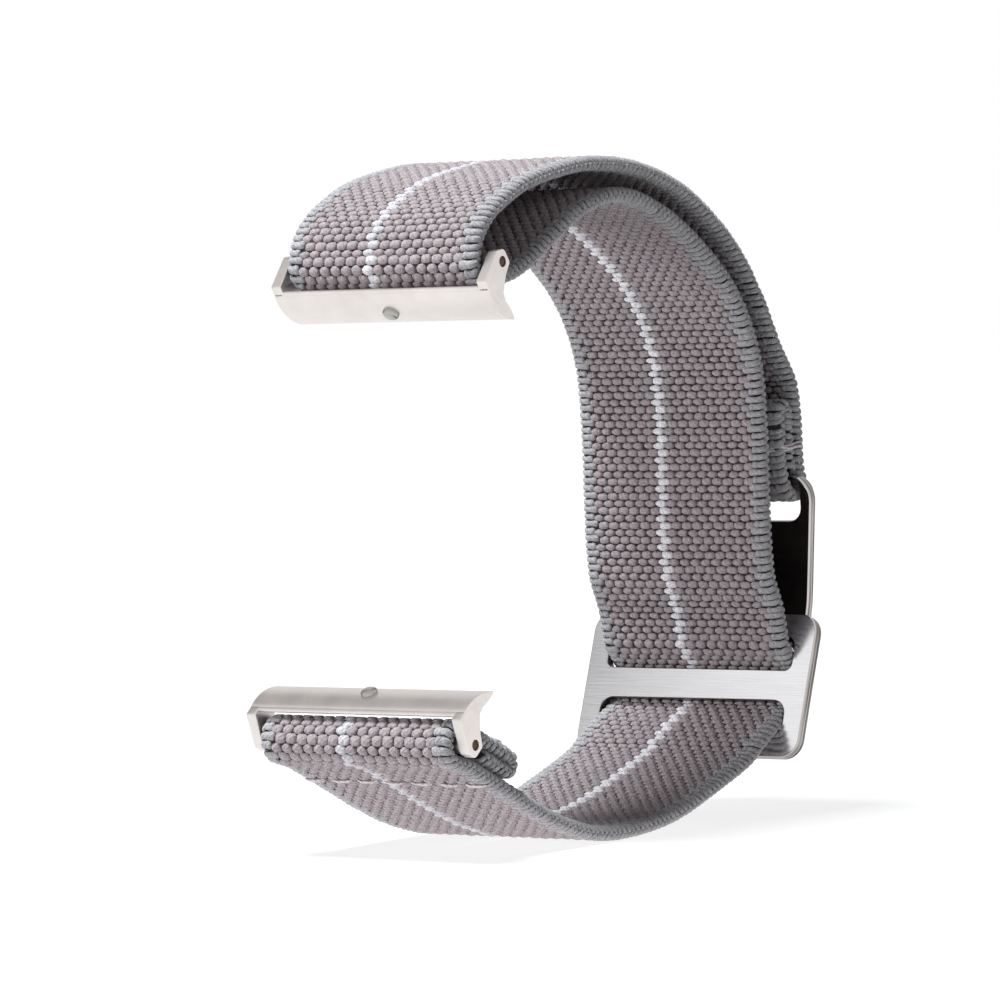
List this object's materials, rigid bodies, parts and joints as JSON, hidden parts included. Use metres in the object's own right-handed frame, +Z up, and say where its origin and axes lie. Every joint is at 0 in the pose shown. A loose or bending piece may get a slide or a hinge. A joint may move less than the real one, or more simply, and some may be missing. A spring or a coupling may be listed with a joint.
{
  "type": "watch strap",
  "caption": "Woven canvas watch strap on two spring-bar adapters, its tail turned back round the loop and hooked to a sliding ladder buckle.",
  "frame": {"origin": "middle of the base of the closed loop's box, where the loop stands on its lowest webbing", "axes": "+X across the webbing, +Y from the open front with the adapters to the back with the buckle, +Z up; the loop leans back 8 degrees as it stands"},
  "size_m": [0.024, 0.0532, 0.0575],
  "materials": {
    "webbing": "woven nylon, matt",
    "thread": "bonded polyester thread",
    "adapter_metal": "warm silver, fine bead-blasted and anodised",
    "buckle_steel": "brushed across, polished rim",
    "bar_steel": "plain turned steel",
    "tip_steel": "dark brown oxide"
  },
  "bodies": {
    "strap": {"webbing_lower_run": "webbing", "webbing_inner_run": "webbing", "webbing_outer_run": "webbing", "lower_end_stitching": "thread"},
    "slider": {"slider_plate": "buckle_steel", "webbing_slider_run": "webbing"},
    "tail": {"webbing_tail": "webbing", "tail_stitching": "thread"},
    "hook": {"hook_plate": "buckle_steel", "hook_lip": "buckle_steel"},
    "upper_adapter": {"upper_adapter": "adapter_metal", "upper_bar_tube": "bar_steel", "upper_bar_spring": "bar_steel"},
    "lower_adapter": {"lower_adapter": "adapter_metal", "lower_bar_tube": "bar_steel", "lower_bar_spring": "bar_steel"},
    "upper_tip_left": {"upper_bar_tip_left": "tip_steel"},
    "upper_tip_right": {"upper_bar_tip_right": "tip_steel"},
    "lower_tip_left": {"lower_bar_tip_left": "tip_steel"},
    "lower_tip_right": {"lower_bar_tip_right": "tip_steel"},
    "upper_lock": {"upper_lock_pin": "tip_steel"},
    "lower_lock": {"lower_lock_pin": "tip_steel"}
  },
  "joints": [
    {"name": "tail_flex", "type": "hinge", "parent": "strap", "child": "tail", "pos_m": [0, 0.02487, 0.03793], "axis": [1, 0, 0], "range_deg": [0, 40], "stiffness_Nm_per_rad": 0.002},
    {"name": "hook_turn", "type": "hinge", "parent": "tail", "child": "hook", "pos_m": [0, 0.02473, 0.02902], "axis": [1, 0, 0], "range_deg": [0, 60]},
    {"name": "slider_slide", "type": "slide", "parent": "strap", "child": "slider", "axis": [0, 0.319, 0.9478], "range_m": [-0.00025, 0.0005], "deforming": ["webbing_slider_run"]},
    {"name": "upper_adapter_turn", "type": "hinge", "parent": "strap", "child": "upper_adapter", "pos_m": [0, -0.01904, 0.0488], "axis": [1, 0, 0], "range_deg": [-45, 30]},
    {"name": "lower_adapter_turn", "type": "hinge", "parent": "strap", "child": "lower_adapter", "pos_m": [0, -0.02453, 0.00979], "axis": [1, 0, 0], "range_deg": [-30, 45]},
    {"name": "upper_tip_left_push", "type": "slide", "parent": "upper_adapter", "child": "upper_tip_left", "axis": [1, 0, 0], "range_m": [0, 0.0012], "stiffness_N_per_m": 400, "springref_m": -0.002, "deforming": ["upper_bar_spring"]},
    {"name": "upper_tip_right_push", "type": "slide", "parent": "upper_adapter", "child": "upper_tip_right", "axis": [-1, 0, 0], "range_m": [0, 0.0012], "stiffness_N_per_m": 400, "springref_m": -0.002},
    {"name": "upper_lock_push", "type": "slide", "parent": "upper_adapter", "child": "upper_lock", "axis": [0, 0.5835, 0.8121], "range_m": [0, 0.00035], "stiffness_N_per_m": 300, "springref_m": -0.001},
    {"name": "lower_tip_left_push", "type": "slide", "parent": "lower_adapter", "child": "lower_tip_left", "axis": [1, 0, 0], "range_m": [0, 0.0012], "stiffness_N_per_m": 400, "springref_m": -0.002, "deforming": ["lower_bar_spring"]},
    {"name": "lower_tip_right_push", "type": "slide", "parent": "lower_adapter", "child": "lower_tip_right", "axis": [-1, 0, 0], "range_m": [0, 0.0012], "stiffness_N_per_m": 400, "springref_m": -0.002},
    {"name": "lower_lock_push", "type": "slide", "parent": "lower_adapter", "child": "lower_lock", "axis": [0, 0.3371, -0.9415], "range_m": [0, 0.00035], "stiffness_N_per_m": 300, "springref_m": -0.001}
  ]
}
